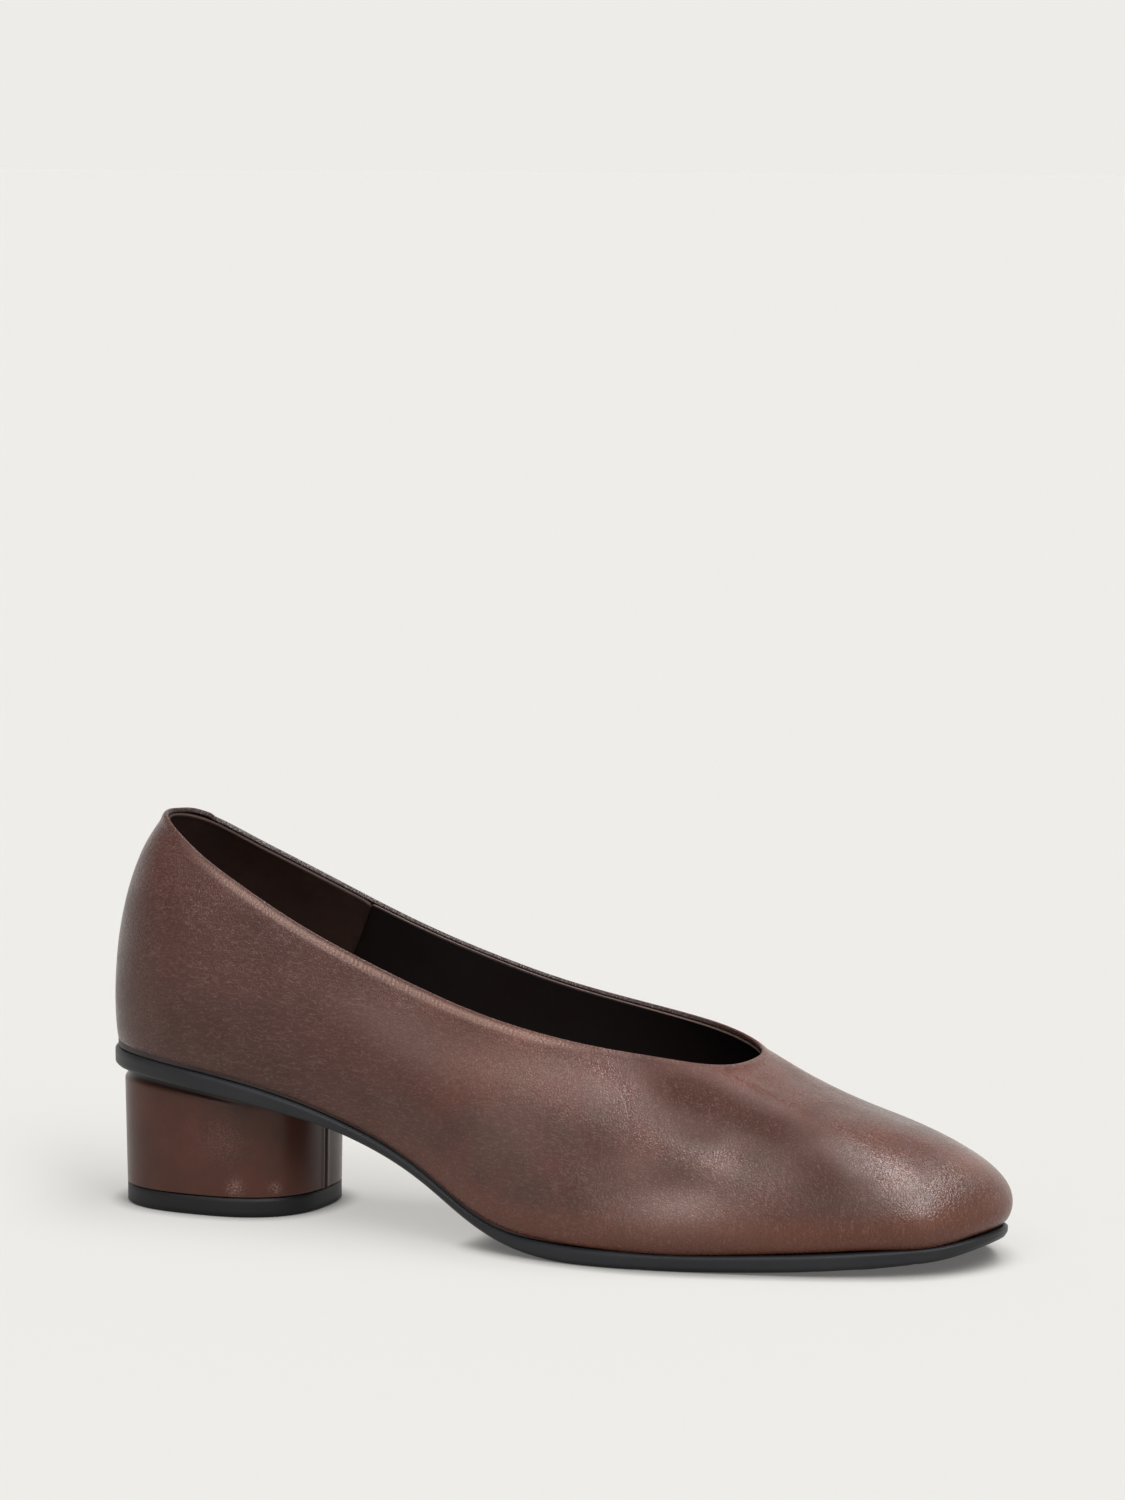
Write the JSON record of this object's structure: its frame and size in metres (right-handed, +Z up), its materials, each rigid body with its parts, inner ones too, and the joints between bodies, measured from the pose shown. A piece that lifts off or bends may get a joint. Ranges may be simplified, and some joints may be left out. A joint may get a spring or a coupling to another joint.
{
  "type": "block heel pump",
  "caption": "Slip-on right pump with a rounded toe, deep open collar, hollow leather upper, thin black sole and a low leather-covered block heel.",
  "frame": {"origin": "on the floor, under the middle of the shoe's bounding box", "axes": "+X from the heel to the toe, +Z up, -Y to the outer side of the foot"},
  "size_m": [0.2436, 0.0836, 0.1021],
  "materials": {
    "upper_leather": "waxed brown leather, satin, with fine grain",
    "heel_leather": "smooth brown leather, satin",
    "sole_rubber": "black, satin",
    "top_piece_rubber": "black, matte",
    "sock_leather": "black, matte"
  },
  "bodies": {
    "root": {"upper": "upper_leather", "outsole": "sole_rubber", "insole": "sock_leather", "heel": "heel_leather", "heel_top_piece": "top_piece_rubber"}
  },
  "joints": []
}
